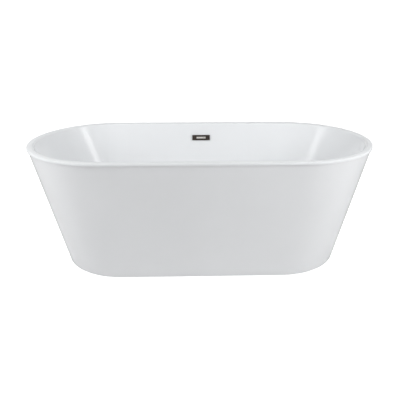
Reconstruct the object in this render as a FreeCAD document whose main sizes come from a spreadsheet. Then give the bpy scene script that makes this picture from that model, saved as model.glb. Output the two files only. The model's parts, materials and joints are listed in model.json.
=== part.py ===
"""A freestanding double-shell acrylic bathtub with its steel underframe, feet, drain and overflow.

Frame: origin on the floor under the middle of the tub, +X along its length, +Y to the side that has the
overflow, +Z up. Millimetres.
"""
import FreeCAD, Part
import Sketcher
import math
import os
import re
from FreeCAD import Placement, Rotation, Vector

SIZES = {
    # rim and bowl
    "rim_length": 1700,
    "rim_width": 800,
    "tub_height": 600,
    "rim_thick": 4.5,
    "lip_drop": 14,
    "lip_wall": 2.5,
    "lip_round": 6,
    "lip_edge_round": 1.5,
    "opening_length": 1640,
    "opening_width": 740,
    "rim_roll": 7,
    "floor_length": 1200,
    "floor_width": 560,
    "floor_height": 140,
    "floor_curve": 60,
    "bowl_wall": 5,
    "backing_wall": 3,
    "backing_top": 585,
    # skirt
    "skirt_gap": 2,
    "base_length": 1384,
    "base_width": 620,
    "skirt_wall": 5,
    "skirt_slack": 0.3,
    "bead_thick": 1,
    "flange_width": 12,
    "flange_thick": 4,
    "ring_base": 12,
    "ring_tall": 40,
    "ring_inner_width": 580,
    # floor board and underframe
    "board_length": 960,
    "board_width": 400,
    "board_thick": 15,
    "board_hole": 60,
    "board_corner": 110,
    "tube_size": 25,
    "tube_wall": 2,
    "rail_length": 1040,
    "rail_reach": 150,
    "crossbar_length": 430,
    "end_bar_reach": 450,
    "inner_bar_reach": 150,
    "cap_head": 2,
    "cap_depth": 14,
    "fit_slack": 0.1,
    "overlap": 1,
    "chamfer": 1,
    # frame screws
    "screw_radius": 2.5,
    "screw_hole": 2.7,
    "screw_head": 5.5,
    "screw_head_thick": 3,
    "screw_outer_reach": 400,
    "screw_inner_reach": 230,
    "screw_bite": 11,
    # skirt brackets
    "bracket_thick": 3,
    "bracket_width": 30,
    "bracket_root": 172,
    "bracket_foot": 18,
    "bracket_screw_level": 32,
    "bracket_screw_root": 194,
    # feet
    "corner_foot_reach": 190,
    "pad_radius": 22.5,
    "pad_rim": 5,
    "pad_shoulder": 8,
    "pad_top": 14,
    "pad_neck": 11,
    "socket_floor": 4,
    "swivel_gap": 0.3,
    "stud_radius": 6,
    "stud_top": 88,
    "stud_hex": 17,
    "stud_hex_base": 22,
    "stud_hex_tall": 8,
    "thread_slack": 0.05,
    "weld_nut_tall": 10,
    "weld_nut_across": 19,
    "lock_nut_tall": 7,
    # drain
    "dish_radius": 90,
    "dish_deep": 3,
    "seat_radius": 45,
    "boss_radius": 55,
    "boss_base": 130,
    "drain_hole": 25,
    "drain_flange_radius": 36,
    "drain_flange_thick": 2.5,
    "flange_slope": 3,
    "mouth_flare": 2.5,
    "mouth_deep": 4,
    "drain_gasket_thick": 1,
    "drain_tube_radius": 24,
    "drain_tube_bore": 20.5,
    "drain_tube_base": 104,
    "hub_base": 108,
    "hub_thick": 5,
    "hub_radius": 8,
    "spoke_wide": 3,
    "under_gasket_thick": 4,
    "body_flange_radius": 42,
    "body_flange_thick": 4,
    "body_radius": 28,
    "chamber_radius": 31,
    "chamber_wall": 3.5,
    "chamber_slope": 3,
    "chamber_top": 100,
    "chamber_base": 66,
    "outlet_top": 58,
    "outlet_base": 40,
    "outlet_radius": 25,
    "tail_radius": 20,
    "tail_neck": 19,
    "tail_bore": 17.5,
    "tail_base": 8,
    "tail_free_top": 29,
    "tail_top": 56,
    "slip_nut_radius": 30,
    "slip_nut_base": 30,
    "slip_nut_top": 54,
    "nut_slack": 0.6,
    "slip_washer_thick": 5,
    # stopper
    "stopper_radius": 32,
    "stopper_thick": 4,
    "stopper_dome": 2,
    "dome_shoulder": 25.6,
    "shoulder_rise": 0.8,
    "dome_crown": 16,
    "crown_rise": 1.6,
    "stopper_gap": 0.3,
    "seal_outer": 29,
    "seal_inner": 22,
    "seal_thick": 2,
    "stem_radius": 5,
    "stem_base": 124,
    "stem_stub": 3,
    "cartridge_radius": 7,
    "cartridge_top": 136,
    "cartridge_floor": 2,
    "cartridge_thread": 4,
    "thread_over": 2,
    "spring_coil": 3.6,
    "spring_wire": 0.5,
    "spring_pitch": 2.2,
    "coil_gap": 0.05,
    # overflow
    "overflow_level": 519,
    "cover_length": 100,
    "cover_tall": 30,
    "cover_thick": 6,
    "cover_round": 2,
    "slot_length": 52,
    "slot_tall": 11,
    "insert_tall": 7,
    "insert_set_back": 2,
    "insert_thick": 2.5,
    "gasket_thick": 1,
    "gasket_margin": 2,
    "wall_slot_length": 88,
    "wall_slot_tall": 16,
    "cover_screw_reach": 39,
    "cover_screw_radius": 2,
    "cover_screw_head": 3.6,
    "cover_screw_head_thick": 2,
    "cover_screw_length": 24,
    "back_gasket_thick": 1.5,
    "housing_length": 104,
    "housing_tall": 38,
    "housing_deep": 13,
    "housing_wall": 2,
    "screw_boss": 4,
    "duct_wide": 60,
    "duct_end": -255,
    "shoe_wide": 36,
    "shoe_tall": 26,
    "shoe_deep": 23,
    "hose_radius": 11,
    "hose_bore": 9,
    "hose_depth": -22,
    "spigot_bore": 7,
    "spigot_long": 30,
    "port_level": 76,
    "port_end": 72,
    "hose_start": 42,
    "clamp_wall": 1.2,
    "clamp_wide": 9,
    "clamp_inset": 8,
    "lug_wide": 6,
    "lug_tall": 7,
    "lug_reach": 2.6,
}

FLOOR_CURVE_STEPS = 7
RIM_ROLL_STEPS = 4
# how much taller the floor's curve gets with each millimetre outwards
CURVE_GROWTH = 0.7
# how near an edge must be to count as being at a place
NEAR = 1e-3

doc = FreeCAD.newDocument("bathtub")
sheet = doc.addObject("Spreadsheet::Sheet", "Sizes")
for row, (alias, size) in enumerate(SIZES.items(), 1):
    sheet.set(f"A{row}", alias)
    sheet.set(f"B{row}", str(size))
    sheet.setAlias(f"B{row}", alias)
doc.recompute()

PIECES = []


# ---------------------------------------------------------------- formulas, bodies and sketches

def sized(formula):
    """A formula in the sheet's names, as an expression that reads the sheet."""
    return re.sub(r"[a-z_]+", lambda word: "Sizes." + word[0] if word[0] in SIZES else word[0], str(formula))


def number(formula):
    """The value of a formula now, used to draw a sketch near its final place."""
    found = sheet.evalExpression(sized(formula))
    return float(getattr(found, "Value", found))


def bind(thing, **formulas):
    for name, formula in formulas.items():
        thing.setExpression(name.replace("__", "."), sized(formula))


def piece(kind, label):
    made = doc.addObject(kind, label)
    made.Label = label
    PIECES.append(made)
    return made


def new_body(label, x="0", y="0", z="0"):
    body = piece("PartDesign::Body", label)
    bind(body, Placement__Base__x=x, Placement__Base__y=y, Placement__Base__z=z)
    return body


def new_sketch(body, name, offset="0", plane="XY_Plane"):
    """A sketch on an origin plane of its body, moved along that plane's normal."""
    sketch = body.newObject("Sketcher::SketchObject", name)
    origin_plane = next(f for f in body.Origin.OriginFeatures if f.Role == plane)
    sketch.AttachmentSupport = [(origin_plane, "")]
    sketch.MapMode = "FlatFace"
    bind(sketch, AttachmentOffset__Base__z=offset)
    return sketch


def dimension(sketch, kind, formula, *where):
    value = number(formula)
    index = sketch.addConstraint(Sketcher.Constraint(kind, *where, value))
    name = f"{kind}{index}"
    sketch.renameConstraint(index, name)
    sketch.setExpression("Constraints." + name, sized(formula))


def pin_point(sketch, line, end, x, y):
    """Dimensions one point of a sketch from the sketch's origin."""
    for axis, kind, formula in ((-2, "DistanceX", x), (-1, "DistanceY", y)):
        if number(formula) == 0:
            sketch.addConstraint(Sketcher.Constraint("PointOnObject", line, end, axis))
        else:
            dimension(sketch, kind, formula, -1, 1, line, end)


def draw_loop(sketch, points):
    """A closed outline of straight lines through points given as formulas."""
    spots = [Vector(number(x), number(y), 0) for x, y in points]
    lines = sketch.addGeometry(
        [Part.LineSegment(a, b) for a, b in zip(spots, spots[1:] + spots[:1])], False)
    for line, after in zip(lines, lines[1:] + lines[:1]):
        sketch.addConstraint(Sketcher.Constraint("Coincident", line, 2, after, 1))
    for line, (x, y) in zip(lines, points):
        pin_point(sketch, line, 1, x, y)


def draw_rectangle(sketch, length, width, x="0", y="0"):
    right, left = f"({x}) + ({length}) / 2", f"({x}) - ({length}) / 2"
    high, low = f"({y}) + ({width}) / 2", f"({y}) - ({width}) / 2"
    draw_loop(sketch, [(left, low), (right, low), (right, high), (left, high)])


def draw_circle(sketch, radius, x="0", y="0"):
    centre = Vector(number(x), number(y), 0)
    circle = sketch.addGeometry(Part.Circle(centre, Vector(0, 0, 1), number(radius)), False)
    pin_point(sketch, circle, 3, x, y)
    dimension(sketch, "Radius", radius, circle)


def draw_hexagon(sketch, across, x="0", y="0"):
    """A hexagon with two corners on its X axis, by the distance across its flats."""
    corners = []
    for turn in range(0, 360, 60):
        corners.append((f"({x}) + ({across}) / sqrt(3) * cos({turn} deg)",
                        f"({y}) + ({across}) / sqrt(3) * sin({turn} deg)"))
    draw_loop(sketch, corners)


def draw_stadium(sketch, length, width):
    """Two straight sides joined by two half circles, centred on the origin."""
    radius = number(f"({width}) / 2")
    half = number(f"(({length}) - ({width})) / 2")
    quarter = math.pi / 2
    up = Vector(0, 0, 1)
    top, low, right, left = sketch.addGeometry([
        Part.LineSegment(Vector(-half, radius, 0), Vector(half, radius, 0)),
        Part.LineSegment(Vector(half, -radius, 0), Vector(-half, -radius, 0)),
        Part.ArcOfCircle(Part.Circle(Vector(half, 0, 0), up, radius), -quarter, quarter),
        Part.ArcOfCircle(Part.Circle(Vector(-half, 0, 0), up, radius), quarter, 3 * quarter),
    ], False)
    for joint in ((top, 2, right, 2), (right, 1, low, 1), (low, 2, left, 2), (left, 1, top, 1)):
        sketch.addConstraint(Sketcher.Constraint("Tangent", *joint))
    sketch.addConstraint(Sketcher.Constraint("Horizontal", top))
    sketch.addConstraint(Sketcher.Constraint("Symmetric", right, 3, left, 3, -1, 1))
    sketch.addConstraint(Sketcher.Constraint("PointOnObject", right, 3, -1))
    dimension(sketch, "DistanceX", f"({length}) - ({width})", left, 3, right, 3)
    dimension(sketch, "Radius", f"({width}) / 2", right)


def stadium(body, name, offset, length, width):
    sketch = new_sketch(body, name, offset)
    draw_stadium(sketch, length, width)
    return sketch


# ---------------------------------------------------------------- features

def feature(body, kind, name, profile):
    made = body.newObject("PartDesign::" + kind, name)
    made.Profile = profile
    profile.Visibility = False
    return made


def pad(body, name, profile, length, both_ways=False):
    made = feature(body, "Pad", name, profile)
    made.SideType = "Symmetric" if both_ways else "One side"
    bind(made, Length=length)
    return made


def pocket(body, name, profile, length):
    """Cuts half of the length to each side of the profile's plane."""
    made = feature(body, "Pocket", name, profile)
    made.SideType = "Symmetric"
    bind(made, Length=length)
    return made


def spin(body, kind, name, points, offset="0"):
    """Turns an outline of (radius, height) points about the body's Z axis."""
    sketch = new_sketch(body, name + "Outline", offset, "XZ_Plane")
    draw_loop(sketch, points)
    made = feature(body, kind, name, sketch)
    made.ReferenceAxis = (sketch, ["V_Axis"])
    made.Angle = 360
    return made


def turned(label, points, x="0", y="0", z="0"):
    body = new_body(label, x, y, z)
    spin(body, "Revolution", "Turning", points)
    return body


def loft(body, kind, name, sections, ruled):
    made = feature(body, kind, name, sections[0])
    made.Sections = sections[1:]
    made.Ruled = ruled
    return made


def round_edges(body, name, edges, radius):
    made = body.newObject("PartDesign::Fillet", name)
    made.Base = edges
    bind(made, Radius=radius)
    return made


# ---------------------------------------------------------------- the bowl's surface

def lean(side):
    """The angle of the bowl's wall from upright: side is 'length' for the ends and 'width' for the sides."""
    return f"atan((opening_{side} - floor_{side}) / 2 / (tub_height - floor_height))"


def squeeze(side):
    return f"((1 - sin({lean(side)})) / cos({lean(side)}))"


def bowl_line(side, grow, level):
    """The whole length or width of the bowl on its straight wall, moved outwards by grow."""
    return (f"(floor_{side} + 2 * (({level}) - floor_height) * tan({lean(side)})"
            f" + 2 * ({grow}) / cos({lean(side)}))")


def bowl_curve(side, grow, rise, tall):
    """The length or width in the curve above the floor: rise is the height over the curve's foot."""
    radius = f"({tall}) / (1 - sin({lean(side)}))"
    foot = bowl_line(side, grow, f"floor_height - ({grow})")
    return f"({foot} - 2 * {radius} * {squeeze(side)} + 2 * sqrt({rise} * (2 * {radius} - {rise})))"


def roll_curve(side, drop):
    """The length or width in the roll between wall and rim: drop is the depth under the rim's top."""
    radius = f"rim_roll / (1 - sin({lean(side)}))"
    return f"(opening_{side} + 2 * {radius} * {squeeze(side)} - 2 * sqrt({drop} * (2 * {radius} - {drop})))"


def bowl_loft(body, kind, name, grow, top):
    """The bowl's curve and wall as two lofts, from the floor to the top, moved outwards by grow."""
    foot = f"floor_height - ({grow})"
    tall = f"(floor_curve + {CURVE_GROWTH} * ({grow}))"
    curve = []
    for step in range(FLOOR_CURVE_STEPS + 1):
        rise = f"({tall} * (1 - cos({90 * step / FLOOR_CURVE_STEPS} deg)))"
        length = bowl_curve("length", grow, rise, tall)
        width = bowl_curve("width", grow, rise, tall)
        curve.append(stadium(body, f"{name}Curve{step}", f"{foot} + {rise}", length, width))
    loft(body, kind, name + "Curve", curve, False)
    wall = []
    for end, level in (("Foot", f"{foot} + {tall}"), ("Top", top)):
        length = bowl_line("length", grow, level)
        width = bowl_line("width", grow, level)
        wall.append(stadium(body, f"{name}Wall{end}", level, length, width))
    loft(body, kind, name + "Wall", wall, True)


def cut_rim_roll(body):
    roll = []
    for step in range(RIM_ROLL_STEPS + 1):
        drop = f"(rim_roll * (1 - cos({90 * (RIM_ROLL_STEPS - step) / RIM_ROLL_STEPS} deg)))"
        roll.append(stadium(body, f"Roll{step}", f"tub_height - {drop}",
                            roll_curve("length", drop), roll_curve("width", drop)))
    loft(body, "SubtractiveLoft", "Roll", roll, False)


# The overflow sits on the flat part of the back wall. Its pieces are drawn on that wall: X along the tub,
# Y up the wall, Z out of the wall into the bowl.
WALL_TILT = f"90 deg - {lean('width')}"
WALL_REACH = bowl_line("width", "0", "overflow_level") + " / 2"


def on_wall(thing, root="Placement"):
    thing.setExpression(root + ".Base.y", sized(WALL_REACH))
    thing.setExpression(root + ".Base.z", sized("overflow_level"))
    thing.setExpression(root + ".Rotation.Angle", sized(WALL_TILT))


def wall_body(label):
    body = piece("PartDesign::Body", label)
    body.Placement.Rotation = Rotation(Vector(1, 0, 0), 1)
    on_wall(body)
    return body


def wall_sketch(body, name):
    """A sketch on the wall's own plane in a body that isn't drawn on the wall."""
    sketch = new_sketch(body, name)
    sketch.AttachmentOffset = Placement(Vector(0, 0, 0), Rotation(Vector(1, 0, 0), 1))
    on_wall(sketch, "AttachmentOffset")
    return sketch


def cut_overflow_slot(body):
    """The slot through the wall, long enough for the cover's two screws."""
    slot = wall_sketch(body, "OverflowSlot")
    draw_rectangle(slot, "wall_slot_length", "wall_slot_tall")
    pocket(body, "OverflowCut", slot, "6 * (bowl_wall + backing_wall)")


# ---------------------------------------------------------------- shells

def make_inner_basin():
    body = new_body("inner_basin")
    rim = stadium(body, "RimOutline", "tub_height - lip_drop", "rim_length", "rim_width")
    pad(body, "Rim", rim, "lip_drop")
    under = stadium(body, "UnderRim", "tub_height - lip_drop",
                    "rim_length - 2 * lip_wall", "rim_width - 2 * lip_wall")
    pocket(body, "RimHollow", under, "2 * (lip_drop - rim_thick)")
    bowl_loft(body, "AdditiveLoft", "Back", "bowl_wall", "tub_height - rim_thick / 2")
    boss = new_sketch(body, "BossOutline", "boss_base")
    draw_circle(boss, "boss_radius")
    pad(body, "DrainBoss", boss, "floor_height - boss_base - overlap")
    bowl_loft(body, "SubtractiveLoft", "Cavity", "0", "tub_height - rim_roll")
    cut_rim_roll(body)
    dish_floor = "floor_height - dish_deep"
    spin(body, "Groove", "Dish", [
        ("0", dish_floor), ("seat_radius", dish_floor), ("dish_radius", "floor_height"),
        ("dish_radius", "floor_height + overlap"), ("0", "floor_height + overlap")])
    drain = new_sketch(body, "DrainHole", "floor_height")
    draw_circle(drain, "drain_hole")
    pocket(body, "DrainCut", drain, "4 * (floor_height - boss_base)")
    cut_overflow_slot(body)
    doc.recompute()
    round_edges(body, "RimRound", (body.Tip, outline_edges(body.Tip.Shape, "tub_height")), "lip_round")
    doc.recompute()
    edges = outline_edges(body.Tip.Shape, "tub_height - lip_drop")
    round_edges(body, "LipRound", (body.Tip, edges), "lip_edge_round")
    return body


def outline_edges(shape, level):
    """The edges of the rim's outer outline at one height."""
    height, length, width = number(level), number("rim_length / 2"), number("rim_width / 2")
    names = []
    for index, edge in enumerate(shape.Edges, 1):
        box = edge.BoundBox
        outermost = max(box.XMax, -box.XMin) > length - 0.01 or max(box.YMax, -box.YMin) > width - 0.01
        if outermost and abs(box.ZMin - height) < NEAR and abs(box.ZMax - height) < NEAR:
            names.append(f"Edge{index}")
    return names


def make_basin_backing():
    """The glass-fibre layer on the bowl's outside."""
    body = new_body("basin_backing")
    bowl_loft(body, "AdditiveLoft", "Back", "bowl_wall + backing_wall", "backing_top")
    bowl_loft(body, "SubtractiveLoft", "Cavity", "bowl_wall", "backing_top")
    drain = new_sketch(body, "DrainHole", "floor_height")
    draw_circle(drain, "boss_radius + fit_slack")
    pocket(body, "DrainCut", drain, "4 * (floor_height - boss_base)")
    cut_overflow_slot(body)
    return body


SKIRT_TOP = "(tub_height - rim_thick - bead_thick)"
SKIRT_TOP_SLACK = "(2 * lip_wall + 2 * skirt_slack)"


def skirt_outline(side, inset, level):
    """The skirt's length or width at a height, drawn in by an inset."""
    top = f"(rim_{side} - {SKIRT_TOP_SLACK})"
    share = f"((({level}) - skirt_gap) / ({SKIRT_TOP} - skirt_gap))"
    return f"(base_{side} + ({top} - base_{side}) * {share} - 2 * ({inset}))"


def skirt_loft(body, kind, name, inset, low, high):
    ends = []
    for end, level in (("Low", low), ("High", high)):
        ends.append(stadium(body, name + end, level, skirt_outline("length", inset, level),
                            skirt_outline("width", inset, level)))
    loft(body, kind, name, ends, True)


def make_outer_skirt():
    body = new_body("outer_skirt")
    skirt_loft(body, "AdditiveLoft", "Shell", "0", "skirt_gap", SKIRT_TOP)
    skirt_loft(body, "SubtractiveLoft", "Inside", "skirt_wall", "skirt_gap", f"{SKIRT_TOP} - flange_thick")
    mouth = stadium(body, "FlangeMouth", SKIRT_TOP, skirt_outline("length", "flange_width", SKIRT_TOP),
                    skirt_outline("width", "flange_width", SKIRT_TOP))
    pocket(body, "FlangeCut", mouth, "4 * flange_thick")
    return body


def make_rim_bond_bead():
    """The adhesive between the skirt's flange and the rim."""
    body = new_body("rim_bond_bead")
    outer = stadium(body, "Outer", SKIRT_TOP, skirt_outline("length", "skirt_slack", SKIRT_TOP),
                    skirt_outline("width", "skirt_slack", SKIRT_TOP))
    pad(body, "Bead", outer, "bead_thick")
    inner = stadium(body, "Inner", SKIRT_TOP, skirt_outline("length", "flange_width", SKIRT_TOP),
                    skirt_outline("width", "flange_width", SKIRT_TOP))
    pocket(body, "BeadMouth", inner, "4 * bead_thick")
    return body


BRACKET_SPOTS = [("left", "-"), ("right", "")]
SIDES = [("front", "-"), ("back", "")]


def make_skirt_base_ring():
    """The plywood band inside the skirt's foot, upright on its inner side."""
    body = new_body("skirt_base_ring")
    skirt_loft(body, "AdditiveLoft", "Band", "skirt_wall", "ring_base", "ring_base + ring_tall")
    inner = stadium(body, "Inner", "ring_base",
                    "ring_inner_width + base_length - base_width", "ring_inner_width")
    pocket(body, "BandMouth", inner, "4 * ring_tall")
    holes = new_sketch(body, "ScrewHoles", "0", "XZ_Plane")
    for _, sign in BRACKET_SPOTS:
        draw_circle(holes, "screw_hole", f"{sign}inner_bar_reach", "bracket_screw_level")
    pocket(body, "ScrewCut", holes, "ring_inner_width + 2 * screw_bite")
    return body


# ---------------------------------------------------------------- floor board and underframe

BOARD_BASE = "(floor_height - bowl_wall - backing_wall - board_thick)"
RAIL_LEVEL = f"({BOARD_BASE} - tube_size / 2)"
BAR_LEVEL = f"({BOARD_BASE} - 1.5 * tube_size)"
BAR_BASE = f"({BOARD_BASE} - 2 * tube_size)"
SCREW_SPOTS = [(f"{sx}screw_{place}_reach", f"{sy}rail_reach")
               for sx in ("-", "") for place in ("outer", "inner") for sy in ("-", "")]
CORNER_FEET = [(f"{sx}end_bar_reach", f"{sy}corner_foot_reach") for sx in ("-", "") for sy in ("-", "")]
MIDDLE_FEET = [(f"{sx}inner_bar_reach", "0") for sx in ("-", "")]
FEET = dict(zip(("left_front", "left_back", "right_front", "right_back", "middle_left", "middle_right"),
                CORNER_FEET + MIDDLE_FEET))


def draw_circles(sketch, radius, spots):
    for x, y in spots:
        draw_circle(sketch, radius, x, y)


def make_floor_board():
    body = new_body("floor_board")
    outline = new_sketch(body, "Outline", BOARD_BASE)
    draw_rectangle(outline, "board_length", "board_width")
    draw_circle(outline, "board_hole")
    pad(body, "Board", outline, "board_thick")
    pilots = new_sketch(body, "Pilots", BOARD_BASE)
    draw_circles(pilots, "screw_hole", SCREW_SPOTS)
    pocket(body, "PilotCut", pilots, "2 * (screw_bite + overlap)")
    doc.recompute()
    upright = []
    for index, edge in enumerate(body.Tip.Shape.Edges, 1):
        box = edge.BoundBox
        at_end = abs(box.XMax) > number("board_length / 2") - NEAR
        at_side = abs(box.YMax) > number("board_width / 2") - NEAR
        if at_end and at_side and box.XLength < NEAR and box.YLength < NEAR:
            upright.append(f"Edge{index}")
    round_edges(body, "Corners", (body.Tip, upright), "board_corner")
    return body


def square_tube(label, plane, length, x, y, z):
    body = new_body(label, x, y, z)
    section = new_sketch(body, "Section", "0", plane)
    draw_rectangle(section, "tube_size", "tube_size")
    draw_rectangle(section, "tube_size - 2 * tube_wall", "tube_size - 2 * tube_wall")
    pad(body, "Tube", section, length, both_ways=True)
    return body


def make_rail(side, sign):
    body = square_tube(f"frame_rail_{side}", "YZ_Plane", "rail_length", "0", f"{sign}rail_reach", RAIL_LEVEL)
    holes = new_sketch(body, "ScrewHoles")
    reaches = [x for x, y in SCREW_SPOTS if y == f"{sign}rail_reach"]
    draw_circles(holes, "screw_hole", [(x, "0") for x in reaches])
    pocket(body, "ScrewCut", holes, "2 * tube_size")
    return body


def make_crossbar(end, place, sign):
    body = square_tube(f"crossbar_{end}_{place}", "XZ_Plane", "crossbar_length",
                       f"{sign}{place}_bar_reach", "0", BAR_LEVEL)
    spots = [("0", y) for x, y in FEET.values() if x == f"{sign}{place}_bar_reach"]
    holes = new_sketch(body, "StudHoles", "-tube_size / 2")
    draw_circles(holes, "stud_radius + 5 * fit_slack", spots)
    pocket(body, "StudCut", holes, "4 * tube_wall")
    if place == "inner":
        screws = new_sketch(body, "BracketHoles", "tube_size / 2")
        draw_circles(screws, "screw_hole", [("0", "-bracket_screw_root"), ("0", "bracket_screw_root")])
        pocket(body, "BracketCut", screws, "4 * tube_wall")
    return body


def block(name, size, centre):
    """A box by its three sizes and its centre."""
    box = doc.addObject("Part::Box", name)
    bind(box, Length=size[0], Width=size[1], Height=size[2])
    for axis, length, middle in zip("xyz", size, centre):
        box.setExpression(f"Placement.Base.{axis}", sized(f"({middle}) - ({length}) / 2"))
    return box


TURNS = {"up": Rotation(), "down": Rotation(Vector(1, 0, 0), 180),
         "back": Rotation(Vector(1, 0, 0), -90), "front": Rotation(Vector(1, 0, 0), 90)}


def rod(name, radius, length, foot, way="up"):
    """A cylinder from the centre of its first end, the way it points."""
    cylinder = doc.addObject("Part::Cylinder", name)
    bind(cylinder, Radius=radius, Height=length)
    cylinder.Placement.Rotation = TURNS[way]
    for axis, place in zip("xyz", foot):
        cylinder.setExpression(f"Placement.Base.{axis}", sized(place))
    return cylinder


def join(name, shapes):
    fused = doc.addObject("Part::MultiFuse", name)
    fused.Shapes = shapes
    return fused


def group(label, shapes):
    """Separate solids of identical pieces under one name."""
    made = piece("Part::Compound", label)
    made.Links = shapes
    return made


def make_tube_end_caps():
    """The plastic plugs in the open ends of the rails and crossbars."""
    plug = "tube_size - 2 * tube_wall - 2 * fit_slack"
    reach = "cap_depth + cap_head"
    caps = []
    for out in "-", "":
        for sign in "-", "":
            at = f"{sign}rail_reach"
            ends = f"Rail{len(caps)}"
            head = block(f"{ends}Head", ("cap_head", "tube_size", "tube_size"),
                         (f"{out}(rail_length + cap_head) / 2", at, RAIL_LEVEL))
            stem = block(f"{ends}Plug", (reach, plug, plug),
                         (f"{out}(rail_length + 2 * cap_head - ({reach})) / 2", at, RAIL_LEVEL))
            caps.append(join(f"{ends}Cap", [head, stem]))
        for place in "end", "inner":
            for sign in "-", "":
                at = f"{sign}{place}_bar_reach"
                ends = f"Bar{len(caps)}"
                head = block(f"{ends}Head", ("tube_size", "cap_head", "tube_size"),
                             (at, f"{out}(crossbar_length + cap_head) / 2", BAR_LEVEL))
                stem = block(f"{ends}Plug", (plug, reach, plug),
                             (at, f"{out}(crossbar_length + 2 * cap_head - ({reach})) / 2", BAR_LEVEL))
                caps.append(join(f"{ends}Cap", [head, stem]))
    return group("tube_end_caps", caps)


def make_frame_screws():
    """The wood screws up through the rails into the floor board."""
    body = new_body("frame_screws")
    heads = new_sketch(body, "Heads", f"{BOARD_BASE} - tube_size - screw_head_thick")
    draw_circles(heads, "screw_head", SCREW_SPOTS)
    pad(body, "HeadPad", heads, "screw_head_thick")
    shanks = new_sketch(body, "Shanks", f"{BOARD_BASE} - tube_size")
    draw_circles(shanks, "screw_radius", SCREW_SPOTS)
    pad(body, "ShankPad", shanks, "tube_size + screw_bite")
    return body


def make_skirt_bracket(end, end_sign, side, side_sign):
    """A bent strap from the top of a crossbar down to the band in the skirt's foot."""
    label = f"skirt_bracket_{end}_{side}"
    body = new_body(label, f"{end_sign}inner_bar_reach")
    top, low = f"{BOARD_BASE} - tube_size", "bracket_foot"
    over, under = f"{top} + bracket_thick", top
    outer, inner = "ring_inner_width / 2", "(ring_inner_width / 2 - bracket_thick)"
    profile = new_sketch(body, "Bend", "0", "YZ_Plane")
    draw_loop(profile, [(f"{side_sign}{y}", z) for y, z in (
        ("bracket_root", under), (inner, under), (inner, low),
        (outer, low), (outer, over), ("bracket_root", over))])
    pad(body, "Strap", profile, "bracket_width", both_ways=True)
    root = new_sketch(body, "RootHole", top)
    draw_circle(root, "screw_hole", "0", f"{side_sign}bracket_screw_root")
    pocket(body, "RootCut", root, "4 * bracket_thick")
    foot = new_sketch(body, "FootHole", f"-({side_sign}ring_inner_width / 2)", "XZ_Plane")
    draw_circle(foot, "screw_hole", "0", "bracket_screw_level")
    pocket(body, "FootCut", foot, "4 * bracket_thick")
    return body


def make_bracket_screws():
    """The screws down through the brackets into the crossbars, and out through them into the band."""
    screws = []
    top = f"{BOARD_BASE} - tube_size + bracket_thick"
    for _, end_sign in BRACKET_SPOTS:
        x = f"{end_sign}inner_bar_reach"
        for (_, sign), way in zip(SIDES, ("front", "back")):
            name = f"Bracket{len(screws)}"
            root = (x, f"{sign}bracket_screw_root", top)
            head = rod(f"{name}Head", "screw_head", "screw_head_thick", root)
            shank = rod(f"{name}Shank", "screw_radius", "screw_bite", root, "down")
            screws.append(join(f"{name}Screw", [head, shank]))
            foot_y = f"{sign}(ring_inner_width / 2 - bracket_thick)"
            head_y = f"{sign}(ring_inner_width / 2 - bracket_thick - screw_head_thick)"
            head = rod(f"{name}FootHead", "screw_head", "screw_head_thick",
                       (x, head_y, "bracket_screw_level"), way)
            shank = rod(f"{name}FootShank", "screw_radius", "screw_bite",
                        (x, foot_y, "bracket_screw_level"), way)
            screws.append(join(f"{name}FootScrew", [head, shank]))
    return group("bracket_screws", screws)


# ---------------------------------------------------------------- feet

def make_nuts(label, base, tall, across):
    body = new_body(label)
    outline = new_sketch(body, "Outline", base)
    for x, y in FEET.values():
        draw_hexagon(outline, across, x, y)
        draw_circle(outline, "stud_radius + thread_slack", x, y)
    pad(body, "Nuts", outline, tall)
    return body


def make_foot_pad(place, x, y):
    return turned(f"foot_pad_{place}", [
        ("0", "0"), ("pad_radius - chamfer", "0"), ("pad_radius", "chamfer"), ("pad_radius", "pad_rim"),
        ("pad_neck", "pad_shoulder"), ("pad_neck", "pad_top"),
        ("stud_radius + fit_slack", "pad_top"), ("stud_radius + fit_slack", "socket_floor"),
        ("0", "socket_floor")], x, y)


def make_foot_stud(place, x, y):
    body = new_body(f"foot_stud_{place}", x, y)
    foot = "socket_floor + swivel_gap"
    spin(body, "Revolution", "Shank", [
        ("0", foot), ("stud_radius - chamfer", foot), ("stud_radius", f"{foot} + chamfer"),
        ("stud_radius", "stud_top - chamfer"), ("stud_radius - chamfer", "stud_top"), ("0", "stud_top")])
    flats = new_sketch(body, "Hexagon", "stud_hex_base")
    draw_hexagon(flats, "stud_hex")
    pad(body, "Flats", flats, "stud_hex_tall")
    return body


# ---------------------------------------------------------------- drain and stopper

SEAT_LEVEL = "(floor_height - dish_deep)"
FLANGE_BASE = f"({SEAT_LEVEL} + drain_gasket_thick)"
FLANGE_TOP = f"({FLANGE_BASE} + drain_flange_thick)"
BODY_TOP = "(boss_base - under_gasket_thick)"
STOPPER_BASE = f"({FLANGE_TOP} + stopper_gap + seal_thick)"


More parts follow.
